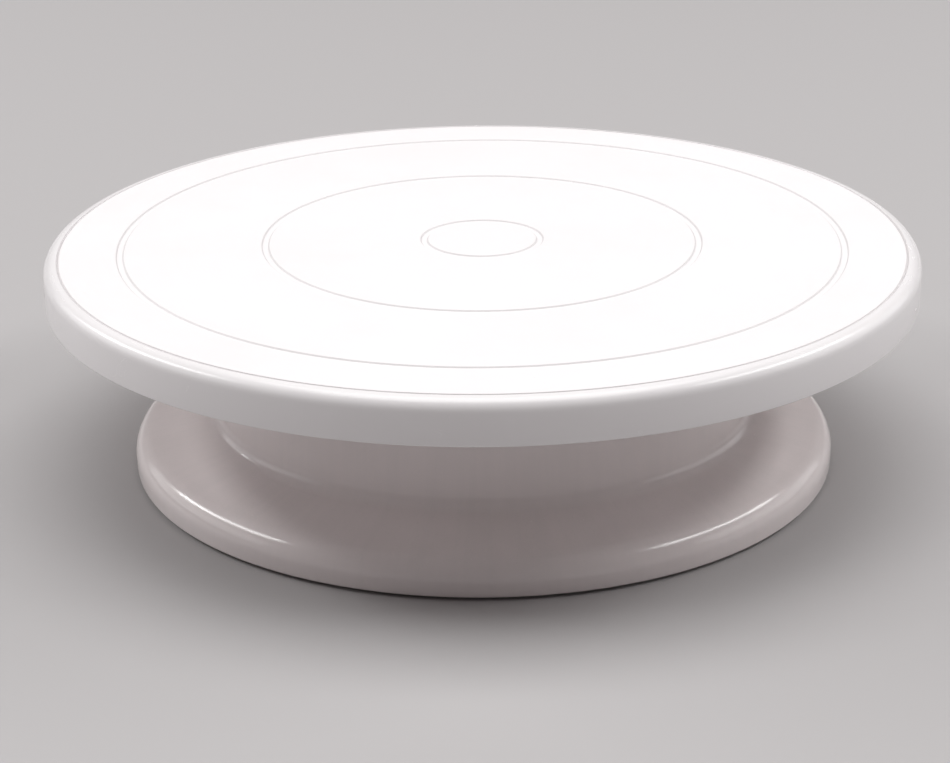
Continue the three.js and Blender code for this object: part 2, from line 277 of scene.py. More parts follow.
def streakGroup():
    # Marks that run round the axis: noise that changes fast with the radius and slowly along the circle.
    tree, given, out = newGroup(
        "turningMarks", [("Vector", "NodeSocketVector", None), ("Radial Scale", "NodeSocketFloat", 900.0),
                         ("Along Scale", "NodeSocketFloat", 12.0)], [("Mask", "NodeSocketFloat")])
    x, y, _ = components(tree, given.outputs["Vector"])
    radius = lengthOf(tree, x, y)
    place = tree.nodes.new("ShaderNodeCombineXYZ")
    for axis, socket in zip((x, y), place.inputs):
        share = mathNode(tree, "DIVIDE", axis, radius)
        tree.links.new(mathNode(tree, "MULTIPLY", share, given.outputs["Along Scale"]), socket)
    tree.links.new(mathNode(tree, "MULTIPLY", radius, given.outputs["Radial Scale"]), place.inputs[2])
    tree.links.new(noise(tree, place.outputs[0], 1.0, detail=3.0, roughness=0.6), out.inputs["Mask"])
    return tree


def ringLines(tree, radius, grooves, slope):
    # The walls of a groove show as two thin lines of painted shade, where the distance from the groove's
    #     # middle is near half its width.
    lines = None
    for start, width in grooves:
        offset = mathNode(tree, "ABSOLUTE", mathNode(tree, "SUBTRACT", radius, start + width / 2))
        fromWall = mathNode(tree, "ABSOLUTE", mathNode(tree, "SUBTRACT", offset, (width - slope) / 2))
        line = ramp(tree, fromWall, slope * 0.4, slope * 0.8, 1.0, 0.0)
        lines = line if lines is None else mathNode(tree, "MAXIMUM", lines, line)
    return lines


def scuffGroup():
    # Hair-thin curved scratches: the zero line of a warped noise, kept only in patches.
    tree, given, out = newGroup(
        "fineScuffs", [("Vector", "NodeSocketVector", None), ("Scale", "NodeSocketFloat", 40.0)],
        [("Mask", "NodeSocketFloat")])
    lines = noise(tree, given.outputs["Vector"], given.outputs["Scale"], detail=1.0, distortion=1.5)
    nearZero = mathNode(tree, "ABSOLUTE", mathNode(tree, "SUBTRACT", lines, 0.5))
    thin = ramp(tree, nearZero, 0.0, 0.006, 1.0, 0.0)
    patches = ramp(tree, noise(tree, given.outputs["Vector"], 60.0, detail=2.0), 0.56, 0.68)
    tree.links.new(mathNode(tree, "MULTIPLY", thin, patches), out.inputs["Mask"])
    return tree


def settledDustGroup():
    # Fine dust where the surface looks up, thicker in soft-edged patches.
    tree, given, out = newGroup(
        "settledDust", [("Vector", "NodeSocketVector", None), ("Amount", "NodeSocketFloat", 0.3)],
        [("Mask", "NodeSocketFloat")])
    upward = ramp(tree, facingHeight(tree), 0.3, 0.95)
    patches = ramp(tree, noise(tree, given.outputs["Vector"], 34.0, detail=5.0, roughness=0.65), 0.42, 0.72)
    specks = ramp(tree, noise(tree, given.outputs["Vector"], 1500.0, detail=1.0), 0.62, 0.7)
    patches, specks = mathNode(tree, "MULTIPLY", patches, 0.5), mathNode(tree, "MULTIPLY", specks, 0.6)
    settled = mathNode(tree, "MULTIPLY", mathNode(tree, "ADD", patches, specks), upward)
    amount = mathNode(tree, "MULTIPLY", settled, given.outputs["Amount"], clamp=True)
    tree.links.new(amount, out.inputs["Mask"])
    return tree


def ejectorGroup():
    # Round marks of the ejector pins, evenly spaced on a circle, where the surface looks down.
    tree, given, out = newGroup(
        "ejectorMarks", [("Vector", "NodeSocketVector", None), ("Circle", "NodeSocketFloat", 0.1),
                         ("Count", "NodeSocketFloat", 12.0), ("Mark Radius", "NodeSocketFloat", 0.002)],
        [("Mask", "NodeSocketFloat")])
    circle, count = given.outputs["Circle"], given.outputs["Count"]
    x, y, _ = components(tree, given.outputs["Vector"])
    radial = mathNode(tree, "SUBTRACT", lengthOf(tree, x, y), circle)
    angle = mathNode(tree, "ARCTAN2", y, x)
    turns = mathNode(tree, "MULTIPLY", mathNode(tree, "DIVIDE", angle, 2 * math.pi), count)
    part = mathNode(tree, "SUBTRACT", mathNode(tree, "FRACT", mathNode(tree, "ADD", turns, 100.0)), 0.5)
    arc = mathNode(tree, "DIVIDE", mathNode(tree, "MULTIPLY", circle, 2 * math.pi), count)
    along = mathNode(tree, "MULTIPLY", part, arc)
    reach = mathNode(tree, "DIVIDE", lengthOf(tree, radial, along), given.outputs["Mark Radius"])
    down = ramp(tree, facingHeight(tree), -0.98, -0.9, 1.0, 0.0)
    inMark = ramp(tree, reach, 0.9, 1.0, 1.0, 0.0)
    tree.links.new(mathNode(tree, "MULTIPLY", inMark, down), out.inputs["Mask"])
    return tree


groups = {"ejectors": ejectorGroup(), "polar": polarGroup(), "streaks": streakGroup(), "scuffs": scuffGroup(),
          "dust": settledDustGroup()}


def useGroup(tree, key, vector, **values):
    node = tree.nodes.new("ShaderNodeGroup")
    node.node_tree = groups[key]
    tree.links.new(vector, node.inputs["Vector"])
    for label, value in values.items():
        node.inputs[label.replace("_", " ")].default_value = value
    return node.outputs


def newMaterial(name):
    material = bpy.data.materials.new(name)
    material.use_nodes = True
    tree = material.node_tree
    shader = tree.nodes["Principled BSDF"]
    place = tree.nodes.new("ShaderNodeTexCoord").outputs["Object"]
    return material, tree, shader, place


def bump(tree, shader, *layers):
    # Each layer is (height value, distance in metres), stacked one on the next.
    normal = None
    for height, distance in layers:
        node = tree.nodes.new("ShaderNodeBump")
        node.inputs["Distance"].default_value = distance
        tree.links.new(height, node.inputs["Height"])
        if normal is not None:
            tree.links.new(normal, node.inputs["Normal"])
        normal = node.outputs["Normal"]
    tree.links.new(normal, shader.inputs["Normal"])


def worn(tree, place, colour, finish):
    # Scuffs, then settled dust, over a colour. Both masks are given back with it.
    scuffs = useGroup(tree, "scuffs", place, Scale=finish["scuffScale"])["Mask"]
    dust = useGroup(tree, "dust", place, Amount=finish["dust"])["Mask"]
    share = mathNode(tree, "MULTIPLY", scuffs, finish["scuffStrength"])
    colour = mixColour(tree, share, colour, finish["scuffColour"])
    return mixColour(tree, dust, colour, finish["dustColour"]), scuffs, dust


def ejectorMarks(tree, place, rows):
    masks = [useGroup(tree, "ejectors", place, Circle=circle, Count=count, Mark_Radius=radius)["Mask"]
             for circle, count, radius in rows]
    return mathNode(tree, "ADD", *masks)


plate = {
    "panelThickness": 0.0026,
    "rimWall": 0.0026,
    "rimRounding": 0.004,
    "edgeRounding": 0.0005,
    "grooveDepth": 0.0004,
    "grooveSlope": 0.0004,
    # Inner radius and width of each groove.
    "grooves": [(0.0174, 0.0025), (0.0684, 0.0025), (0.1146, 0.0025), (0.1350, 0.0008)],
    "rootFillet": 0.0008,
    "ribs": 12,
    "ribWidth": 0.002,
    "ribDepth": 0.004,
    "trackWall": 0.002,
    "trackDepth": 0.003,
    "bossRadius": 0.01115,
}

plateFinish = {
    "colour": (0.87, 0.848, 0.852),
    "shade": (0.83, 0.805, 0.808),  # in the faint cloudiness of the moulding
    "frostedRoughness": 0.5,
    "polishedRoughness": 0.24,
    "frostedRadius": 0.1350,
    "frostDepth": 0.00004,
    # painted shade: how strongly the groove walls on the top are darkened, and to what colour
    "grooveWallPaintedShade": 0.3,
    "grooveWallShadeColour": (0.36, 0.33, 0.33),
    "scuffScale": 110.0,
    "scuffStrength": 0.08,
    "scuffColour": (0.62, 0.6, 0.59),
    "scuffRoughness": 0.12,
    "dust": 0.08,
    "dustColour": (0.7, 0.68, 0.65),
    "ejectors": [(0.121, 12.0, 0.0025), (0.036, 12.0, 0.002)],  # circle, number, radius of a mark
    "ejectorDepth": 0.00015,
    "refraction": 1.49,
}


def plateMaterial():
    finish = plateFinish
    material, tree, shader, place = newMaterial("satinWhitePlate")
    polar = useGroup(tree, "polar", place)
    cloud = ramp(tree, noise(tree, place, 16.0, detail=4.0), 0.35, 0.75)
    colour = mixColour(tree, mathNode(tree, "MULTIPLY", cloud, 0.3), finish["colour"], finish["shade"])
    colour, scuffs, _ = worn(tree, place, colour, finish)
    onTop = ramp(tree, polar["Height"], cadHigh[2] - 0.0012, cadHigh[2] - 0.0006)
    # Painted shade: thin dark lines on the groove walls of the top, mixed into the base colour.
    lines = ringLines(tree, polar["Radius"], plate["grooves"], plate["grooveSlope"])
    paintedGrooveShade = mathNode(tree, "MULTIPLY", mathNode(tree, "MULTIPLY", lines, onTop), finish["grooveWallPaintedShade"])
    tree.links.new(mixColour(tree, paintedGrooveShade, colour, finish["grooveWallShadeColour"]), shader.inputs["Base Color"])
    border = finish["frostedRadius"]
    inside = ramp(tree, polar["Radius"], border, border + 0.0004, 1.0, 0.0)
    frosted = mathNode(tree, "MULTIPLY", onTop, inside)
    marks = useGroup(tree, "streaks", place, Radial_Scale=700.0, Along_Scale=9.0)["Mask"]
    rough = ramp(tree, frosted, 0.0, 1.0, finish["polishedRoughness"], finish["frostedRoughness"])
    turnedRough = ramp(tree, marks, 0.3, 0.7, -0.03, 0.04)
    rough = mathNode(tree, "ADD", rough, mathNode(tree, "MULTIPLY", turnedRough, onTop))
    rough = mathNode(tree, "ADD", rough, mathNode(tree, "MULTIPLY", scuffs, finish["scuffRoughness"]))
    tree.links.new(rough, shader.inputs["Roughness"])
    grit = noise(tree, place, 1300.0, detail=2.0, roughness=0.6)
    bump(tree, shader,
         (ejectorMarks(tree, place, finish["ejectors"]), -finish["ejectorDepth"]),
         (mathNode(tree, "MULTIPLY", grit, frosted), finish["frostDepth"]),
         (noise(tree, place, 90.0, detail=2.0), 0.00003))
    shader.inputs["IOR"].default_value = finish["refraction"]
    return material


pedestalFinish = {
    "colour": (0.88, 0.808, 0.80),
    "shade": (0.83, 0.758, 0.748),
    "roughness": (0.13, 0.2),  # least and most
    "peelDepth": 0.00003,
    "flowColour": (0.72, 0.70, 0.69),
    "scuffScale": 95.0,
    "scuffStrength": 0.05,
    "scuffColour": (0.6, 0.58, 0.57),
    "scuffRoughness": 0.14,
    "dust": 0.2,
    "dustColour": (0.66, 0.64, 0.61),
    "dustRoughness": 0.5,
    "ejectors": [(0.074, 8.0, 0.0025), (0.038, 8.0, 0.002)],
    "ejectorDepth": 0.00015,
    "refraction": 1.5,
}


def pedestalMaterial():
    finish = pedestalFinish
    material, tree, shader, place = newMaterial("glossWhitePedestal")
    polar = useGroup(tree, "polar", place)
    cloud = ramp(tree, noise(tree, place, 20.0, detail=4.0), 0.35, 0.75)
    colour = mixColour(tree, mathNode(tree, "MULTIPLY", cloud, 0.5), finish["colour"], finish["shade"])
    flow = tree.nodes.new("ShaderNodeCombineXYZ")  # faint upright flow lines round the column
    tree.links.new(mathNode(tree, "MULTIPLY", polar["Angle"], 26.0), flow.inputs[0])
    tree.links.new(mathNode(tree, "MULTIPLY", polar["Height"], 14.0), flow.inputs[1])
    lines = ramp(tree, noise(tree, flow.outputs[0], 1.0, detail=3.0, roughness=0.6), 0.35, 0.7)
    colour = mixColour(tree, mathNode(tree, "MULTIPLY", lines, 0.12), colour, finish["flowColour"])
    colour, scuffs, dust = worn(tree, place, colour, finish)
    tree.links.new(colour, shader.inputs["Base Color"])
    least, most = finish["roughness"]
    rough = ramp(tree, noise(tree, place, 45.0, detail=5.0, roughness=0.6), 0.3, 0.75, least, most)
    rough = mathNode(tree, "ADD", rough, mathNode(tree, "MULTIPLY", scuffs, finish["scuffRoughness"]))
    rough = mathNode(tree, "ADD", rough, mathNode(tree, "MULTIPLY", dust, finish["dustRoughness"]))
    tree.links.new(rough, shader.inputs["Roughness"])
    bump(tree, shader,
         (ejectorMarks(tree, place, finish["ejectors"]), -finish["ejectorDepth"]),
         (noise(tree, place, 130.0, detail=2.0), finish["peelDepth"]),
         (noise(tree, place, 38.0, detail=1.0), 0.00005))
    shader.inputs["IOR"].default_value = finish["refraction"]
    return material


def steelMaterial(name, colour, roughness, scratchScale, anisotropy=0.0):
    material, tree, shader, place = newMaterial(name)
    marks = useGroup(tree, "streaks", place, Radial_Scale=scratchScale, Along_Scale=5.0)["Mask"]
    scuffs = useGroup(tree, "scuffs", place, Scale=160.0)["Mask"]
    dark = tuple(0.72 * c for c in colour)
    shade = mixColour(tree, ramp(tree, marks, 0.3, 0.75, 0.0, 0.45), colour, dark)
    shade = mixColour(tree, mathNode(tree, "MULTIPLY", scuffs, 0.5), shade, dark)
    tree.links.new(shade, shader.inputs["Base Color"])
    rough = ramp(tree, marks, 0.3, 0.75, roughness * 0.75, roughness * 1.3)
    rough = mathNode(tree, "ADD", rough, mathNode(tree, "MULTIPLY", scuffs, 0.15))
    tree.links.new(rough, shader.inputs["Roughness"])
    bump(tree, shader, (marks, 0.000008))
    shader.inputs["Metallic"].default_value = 1.0
    shader.inputs["Anisotropic"].default_value = anisotropy
    return material


def acetalMaterial():
    material, tree, shader, place = newMaterial("creamAcetal")
    cloud = noise(tree, place, 60.0, detail=4.0)
    grease = ramp(tree, noise(tree, place, 90.0, detail=3.0, distortion=0.6), 0.55, 0.7)
    colour = mixColour(tree, cloud, (0.78, 0.74, 0.63), (0.7, 0.66, 0.55))
    colour = mixColour(tree, mathNode(tree, "MULTIPLY", grease, 0.25), colour, (0.5, 0.45, 0.33))
    tree.links.new(colour, shader.inputs["Base Color"])
    tree.links.new(ramp(tree, grease, 0.0, 1.0, 0.42, 0.18), shader.inputs["Roughness"])
    bump(tree, shader, (noise(tree, place, 700.0, detail=2.0), 0.00001))
    return material


def rubberMaterial():
    material, tree, shader, place = newMaterial("greyRubber")
    worn = ramp(tree, noise(tree, place, 220.0, detail=4.0, roughness=0.7), 0.4, 0.75)
    colour = mixColour(tree, mathNode(tree, "MULTIPLY", worn, 0.6), (0.05, 0.05, 0.052), (0.13, 0.125, 0.12))
    tree.links.new(colour, shader.inputs["Base Color"])
    tree.links.new(ramp(tree, worn, 0.0, 1.0, 0.72, 0.92), shader.inputs["Roughness"])
    bump(tree, shader, (noise(tree, place, 2600.0, detail=2.0), 0.00003))
    return material


materials = {
    "plate": plateMaterial(),
    "pedestal": pedestalMaterial(),
    "race": steelMaterial("groundSteel", (0.62, 0.63, 0.64), 0.24, 2400.0, 0.5),
    "ball": steelMaterial("polishedSteel", (0.74, 0.75, 0.76), 0.08, 500.0),
    "zinc": steelMaterial("zincSteel", (0.55, 0.57, 0.6), 0.34, 1800.0, 0.2),
    "acetal": acetalMaterial(),
    "rubber": rubberMaterial(),
}
print("materials made")

# Places come from the frame's nodes; walls and ribs that a node's box doesn't give are set here.

plateLow, plateHigh = boxOf("turntable_plate")
pedestalLow, pedestalHigh = boxOf("pedestal_base")
lowerRaceLow, lowerRaceHigh = boxOf("lower_race")
ballLow, ballHigh = boxOf("ball_01")
padLow, padHigh = boxOf("foot_pad_01")
pinLow, pinHigh = boxOf("pivot_pin")
bushLow, bushHigh = boxOf("pivot_bush")

bearing = {"raceWidth": 0.014, "fitGap": 0.00015, "seatGap": 0.0001, "turningGap": 0.0004}
pivot = {
    "pinRadius": 0.004,
    "headHeight": 0.0025,
    "bushBore": 0.0041,
    "bushOuter": 0.0061,
    "flangeThickness": 0.0015,
    "washerBore": 0.00215,
    "slit": 0.0012,
    "slitLean": 0.35,
    "screwRadius": 0.002,
    "screwHead": 0.0026,
    "recess": (0.0023, 0.0005, 0.0014),  # half length, half width, depth
    "recessTaper": (0.45, 0.8),  # what is left of its length and width at its floor
}
pitchRadius = (ballLow[0] + ballHigh[0]) / 2
raceInner, raceOuter = pitchRadius - bearing["raceWidth"] / 2, pitchRadius + bearing["raceWidth"] / 2
draft = 0.0001  # a wall is thicker at its root by this, each side


def plateOutline():
    # From the axis under the panel, down and up round each wall on its underside, round the rim and back
    # over the top.
    p, top, fit = plate, plateHigh[2], bearing["fitGap"]
    radius, under, low = plateHigh[0], top - p["panelThickness"], plateLow[2]
    inner, edge, depth, root = radius - p["rimWall"], p["edgeRounding"], p["grooveDepth"], p["rootFillet"]
    trackLow, ribLow = under - p["trackDepth"], under - p["ribDepth"]
    ring, half = (raceOuter + fit + inner) / 2, p["ribWidth"] / 2
    headTop = pinHigh[2] + bearing["seatGap"]
    headBottom = pinHigh[2] - pivot["headHeight"] - bearing["seatGap"]
    bossLow = bushHigh[2] + bearing["turningGap"]
    corners = [(0, headTop), (pinHigh[0] + fit, headTop), (pinHigh[0] + fit, headBottom),
               (pivot["pinRadius"] + fit, headBottom), (pivot["pinRadius"] + fit, bossLow, 0.0003)]
    walls = [(None, p["bossRadius"], bossLow),
             (raceInner - fit - p["trackWall"], raceInner - fit, trackLow),
             (raceOuter + fit, raceOuter + fit + p["trackWall"], trackLow),
             (ring - half, ring + half, ribLow)]
    for wallInner, wallOuter, tip in walls:
        if wallInner is not None:
            corners += [(wallInner - draft, under, root), (wallInner, tip, edge)]
        corners += [(wallOuter, tip, edge), (wallOuter + draft, under, root)]
    corners += [(inner, under, 0.0015), (inner, low, edge), (radius, low, edge),
                (radius, top, p["rimRounding"])]
    for start, width in reversed(p["grooves"]):
        slope, soft = min(p["grooveSlope"], width / 4), p["grooveSlope"] / 4
        corners += [(start + width, top, soft), (start + width - slope, top - depth, soft),
                    (start + slope, top - depth, soft), (start, top, soft)]
    return roundedOutline(corners + [(0, top)])


def radialRib(inner, outer, root, depth, width, fillet=0.0008, lean=0.0002):
    # A straight rib along +X. Its section hangs from root, flares into it at the fillets, leans in by
    # lean and ends in rounded edges. It starts a little above root, inside the wall that it hangs from.
    half, tip, start, edge = width / 2, root - depth, root + 0.0004, 0.0004
    section = roundedOutline([(-half - fillet, start), (-half, root, fillet), (-half + lean, tip, edge),
                              (half - lean, tip, edge), (half, root, fillet), (half + fillet, start)])
    x = np.broadcast_to(np.array([inner, outer])[:, None], (2, len(section)))
    across, height = np.broadcast_to(section[:, 0], x.shape), np.broadcast_to(section[:, 1], x.shape)
    return swept(np.stack([x, across, height], axis=-1))


def tube(inner, outer, bottom, top, steps, rounding):
    section = [(inner, bottom), (outer, bottom), (outer, top), (inner, top)]
    return revolved(roundedOutline([(*point, rounding) for point in section], arcPoints=4), steps)


def makePlate():
    p = plate
    under, rimInner = plateHigh[2] - p["panelThickness"], plateHigh[0] - p["rimWall"]
    trackInner, trackOuter = raceInner - bearing["fitGap"], raceOuter + bearing["fitGap"]
    halfTrack, section = p["trackWall"] / 2, (under, p["ribDepth"], p["ribWidth"])
    inner = radialRib(p["bossRadius"] - 0.001, trackInner - halfTrack, *section)
    outer = radialRib(trackOuter + halfTrack, rimInner + p["rimWall"] / 2, *section)
    ribs = around(inner, p["ribs"]) + around(outer, p["ribs"])
    moulding = objectOf("plateMoulding", [revolved(plateOutline(), facets["plate"])] + ribs)
    return finish(moulding, "plate", "turntable_plate", "plate_plastic", materials["plate"])


makePlate()
print("plate made")


pedestal = {
    "footDraft": 0.0004,
    "footEdge": 0.0104,
    "shoulderRadius": 0.0072,
    "flareWidth": 0.0275,
    "flareRise": 0.0059,
    "coveRadius": 0.005,
    "columnDraft": 0.002,
    "deckHeight": 0.060,
    "deckThickness": 0.0035,
    "shellWall": 0.0026,
    "webs": 8,
    "webDepth": 0.010,
    "gussets": 6,
    "gussetLift": 0.003,
    "ribWidth": 0.002,
    "guideHeight": 0.004,
    "guideWall": 0.002,
    "guideGap": 0.0008,
    "hubWall": 0.005,
    "padSeatWall": 0.0015,
    "padRecess": 0.002,
    "rootFillet": 0.0008,
}


def flareMiddle(radius):
    # Height of the middle of the flare's wall: a straight slope, then a quarter arc down into the foot.
    p, halfWall, rim = pedestal, pedestal["shellWall"] / 2, pedestalHigh[0]
    corner, rounding = pedestalLow[2] + p["footEdge"], p["shoulderRadius"]
    slope = math.atan2(p["flareRise"], p["flareWidth"])
    half = (math.pi / 2 + slope) / 2
    centreRadius, centreHeight = rim - rounding, corner - rounding * math.tan(math.pi / 2 - half)
    line = corner + (rim - np.maximum(radius, rim - p["flareWidth"])) * math.tan(slope)
    line = line - halfWall / math.cos(slope)
    inward = np.clip(radius - centreRadius, 0, None)
    arc = centreHeight + np.sqrt(np.clip((rounding - halfWall) ** 2 - inward ** 2, 0, None))
    bend = centreRadius + (rounding - halfWall) * math.sin(slope)
    return np.where(radius > bend, arc, line)


def pedestalOutline():
    # From the hub's bore out under the deck, down inside the wall, round the foot, up outside and in
    # over the deck.
    p, low, wall, root = pedestal, pedestalLow[2], pedestal["shellWall"], pedestal["rootFillet"]
    radius, column = pedestalHigh[0], pedestalHigh[0] - p["flareWidth"]
    columnTop, deck = column - p["columnDraft"], low + p["deckHeight"]
    innerFoot, flareLow = radius - p["footDraft"] - wall, low + p["footEdge"] - wall
    deckUnder = deck - p["deckThickness"]
    webLow = deckUnder - p["webDepth"]
    seat = deck - (lowerRaceHigh[2] - lowerRaceLow[2]) - bearing["seatGap"]
    bore = pivot["bushOuter"] + bearing["fitGap"]
    hub, hubLow = bore + p["hubWall"], bushLow[2]
    guide, guideTop = raceOuter + p["guideGap"], deck + p["guideHeight"]
    guideOuter = guide + p["guideWall"]
    seatOuter, seatInner = raceOuter + bearing["fitGap"], raceInner - bearing["fitGap"]
    ringInner, ringOuter = pitchRadius - p["ribWidth"] / 2, pitchRadius + p["ribWidth"] / 2
    return roundedOutline([
        (bore, hubLow, 0.0003), (hub, hubLow, 0.0006), (hub + draft, deckUnder, root),
        (ringInner - draft, deckUnder, root), (ringInner, webLow, 0.0004),
        (ringOuter, webLow, 0.0004), (ringOuter + draft, deckUnder, root),
        (columnTop - wall, deckUnder, 0.0015),
        (column - wall, flareLow + p["flareRise"], p["coveRadius"] + wall),
        (innerFoot, flareLow, p["shoulderRadius"] - wall), (innerFoot, low, 0.0006),
        (radius - p["footDraft"], low, 0.0008), (radius, low + p["footEdge"], p["shoulderRadius"]),
        (column, low + p["footEdge"] + p["flareRise"], p["coveRadius"]), (columnTop, deck, 0.002),
        (guideOuter, deck, 0.0005), (guideOuter, guideTop, 0.0004),
        (guide, guideTop, 0.0004), (guide, deck, 0.0003),
        (seatOuter, deck, 0.0001), (seatOuter, seat), (seatInner, seat), (seatInner, deck, 0.0001),
        (bore, deck, 0.0002)], arcPoints=11)


def padBoss(centre, outer, inner, recess):
    # A cup, open at the bottom, whose closed top follows the middle of the flare's wall.
    low, far = pedestalLow[2], 1.0  # the top is drawn far off first, then brought to its place
    cup = [(0, low + recess), (inner, low + recess), (inner, low, 0.0002), (outer, low, 0.0004),
           (outer, far), (0, far)]
    points, quads = moved(revolved(roundedOutline(cup), facets["pad"]), (centre, 0, 0))
    x, y, height = points.T
    points[:, 2] = np.where(height > far / 2, flareMiddle(np.hypot(x, y)), height)
    return points, quads


def gussetPlate(inner, outer, bottom):
    # An upright plate along +X whose top follows the middle of the flare's wall, with rounded lower edges.
    half, soft, stations = pedestal["ribWidth"] / 2, 0.0005, 48
    x = np.linspace(inner, outer, stations)[:, None]
    turn = np.linspace(0, np.pi / 2, 5)
    lower = np.concatenate([-half + soft - soft * np.cos(turn), half - soft + soft * np.sin(turn)])
    lift = np.concatenate([soft - soft * np.sin(turn), soft - soft * np.cos(turn)])
    across = np.concatenate([[-half], lower, [half]])
    top = flareMiddle(x)
    height = np.concatenate([top, np.broadcast_to(bottom + lift, (len(x), len(lift))), top], axis=1)
    x, across = np.broadcast_to(x, height.shape), np.broadcast_to(across, height.shape)
    return swept(np.stack([x, across, height], axis=-1))


def makePedestal():
    p, wall = pedestal, pedestal["shellWall"]
    low, column = pedestalLow[2], pedestalHigh[0] - p["flareWidth"]
    deckUnder = low + p["deckHeight"] - p["deckThickness"]
    hubMiddle = pivot["bushOuter"] + bearing["fitGap"] + p["hubWall"] / 2
    web = radialRib(hubMiddle, column - 1.2 * wall, deckUnder, p["webDepth"], p["ribWidth"])
    padSeat = (padHigh[0] - padLow[0]) / 2 + bearing["fitGap"]
    boss = padBoss((padLow[0] + padHigh[0]) / 2, padSeat + p["padSeatWall"], padSeat, p["padRecess"])
    gusset = gussetPlate(column - p["columnDraft"] - wall, pedestalHigh[0] - p["footDraft"] - wall / 2,
                         low + p["gussetLift"])
    shells = [revolved(pedestalOutline(), facets["pedestal"])] + around(web, p["webs"])
    shells += around(gusset, p["gussets"]) + around(boss, p["gussets"])
    return finish(objectOf("pedestalMoulding", shells), "pedestal", "pedestal_base", "pedestal_plastic",
                  materials["pedestal"])


makePedestal()
print("pedestal made")


def makeRace(name, node, body):
    low, high = boxOf(node)
    made = objectOf(name, [tube(raceInner, raceOuter, low[2], high[2], facets["bearing"], 0.00015)])
    return finish(made, body, node, "race_steel", materials["race"])


def makeBall(node):
    # A sphere: one angle, from the top pole, runs up from the bottom to the top, and the other goes round.
    low, high = boxOf(node)
    centre, radius = (low + high) / 2, (high[2] - low[2]) / 2
    fall = np.linspace(np.pi, 0, 33)
    outline = np.stack([radius * np.sin(fall) * (np.sin(fall) > 1e-9), radius * np.cos(fall)], axis=-1)
    made = objectOf(node.replace("ball_", "ball"), [moved(revolved(outline, facets["ball"]), centre)])
    return finish(made, node, node, "ball_steel", materials["ball"])


cage = {"pocketGap": 0.0003, "margin": 0.0024, "balls": 12, "edge": 0.0004, "along": 12, "across": 6}


def cageSector(low, high, inner, outer, pocket):
    # One ball's share of the ring. Rays run from the pocket's circle to the sector's border, on the top and
    # the bottom, and quarter arcs round every edge. The side borders meet the neighbouring sectors.
    soft, along, across = cage["edge"], cage["along"], cage["across"]
    half = math.pi / cage["balls"]
    sweep, rise = np.linspace(-half, half, along + 1), np.linspace(inner + soft, outer - soft, across + 1)
    circleOf = np.stack([np.cos(sweep), np.sin(sweep)], axis=-1)
    outerSide, innerSide = (outer - soft) * circleOf, (inner + soft) * circleOf[::-1]
    farSide = np.stack([rise[::-1] * math.cos(half), rise[::-1] * math.sin(half)], axis=-1)
    nearSide = np.stack([rise * math.cos(half), -rise * math.sin(half)], axis=-1)
    border = np.concatenate([outerSide, farSide[1:], innerSide[1:], nearSide[1:]])
    centre = np.array([pitchRadius, 0.0])
    ray = unit(border - centre)
    circle = centre + ray * (pocket + soft)
    turn = np.linspace(0, np.pi / 2, 6)[:, None, None]
    part = np.linspace(0, 1, 6)[:, None, None]
    flat = circle + (border - circle) * part
    lip = centre + ray * (pocket + soft - soft * np.sin(turn))
    drop = soft - soft * np.cos(turn[..., 0])
    level = np.zeros((len(part), 1))
    plan = np.concatenate([flat[::-1], lip[1:], lip[::-1], flat[1:]])
    height = np.concatenate([high + level, high - drop[1:], low + drop[::-1], low + level[1:]])
    sheet = np.concatenate([plan, np.broadcast_to(height[..., None], (*plan.shape[:2], 1))], axis=-1)
    walls = []
    for radius, sign in ((outer, 1), (inner, -1)):
        reach = radius - sign * (soft - soft * np.sin(turn[:, 0, 0]))
        rim = np.concatenate([reach, reach[::-1]])
        rimHeight = np.concatenate([high - drop[:, 0], low + drop[::-1, 0]])
        angle = sweep[None, :] * sign
        wall = np.stack([rim[:, None] * np.cos(angle), rim[:, None] * np.sin(angle),
                         np.broadcast_to(rimHeight[:, None], (len(rim), len(sweep)))], axis=-1)
        walls.append(gridShell(wall))
    return [gridShell(sheet[:, ::-1])] + walls


def makeCage():
    low, high = boxOf("ball_cage")
    pocket = (ballHigh[2] - ballLow[2]) / 2 + cage["pocketGap"]
    margin = pocket + cage["margin"]
    sector = cageSector(low[2], high[2], pitchRadius - margin, pitchRadius + margin, pocket)
    ring = objectOf("ballCage", [shell for part in sector for shell in around(part, cage["balls"])])
    return finish(ring, "cage", "ball_cage", "bearing_plastic", materials["acetal"])


makeRace("lowerRace", "lower_race", "pedestal")
makeRace("upperRace", "upper_race", "plate")
makeCage()
for number in range(1, cage["balls"] + 1):
    makeBall(f"ball_{number:02d}")
print("ball ring made")


def makePin():
    # A headed pin, bored from below for the screw.
    low, high = pinLow, pinHigh
    head, shank, bore = high[0], pivot["pinRadius"], pivot["washerBore"]
    boreTop = boxOf("retaining_screw")[1][2] + bearing["seatGap"]
    shoulder = high[2] - pivot["headHeight"]
    outline = roundedOutline([
        (0, boreTop), (bore, boreTop), (bore, low[2], 0.0003), (shank, low[2], 0.0004),
        (shank, shoulder, 0.0003), (head, shoulder, 0.0003), (head, high[2], 0.0004), (0, high[2])])
    made = objectOf("pivotPin", [revolved(outline, facets["small"])])
    return finish(made, "plate", "pivot_pin", "race_steel", materials["race"])


def makeBush():
    low, high = bushLow, bushHigh
    bore, outer, under = pivot["bushBore"], pivot["bushOuter"], high[2] - pivot["flangeThickness"]
    outline = roundedOutline([
        (bore, low[2], 0.0002), (outer, low[2], 0.0003), (outer, under, 0.0002),
        (high[0], under, 0.0002), (high[0], high[2], 0.0003), (bore, high[2], 0.0003)])
    made = objectOf("pivotBush", [revolved(outline, facets["small"])])
    return finish(made, "pedestal", "pivot_bush", "bearing_plastic", materials["acetal"])


def makeWasher():
    low, high = boxOf("retaining_washer")
    shell = tube(pivot["washerBore"], high[0], low[2], high[2], facets["small"], 0.0002)
    made = objectOf("retainingWasher", [shell])
    return finish(made, "plate", "retaining_washer", "fastener_steel", materials["zinc"])


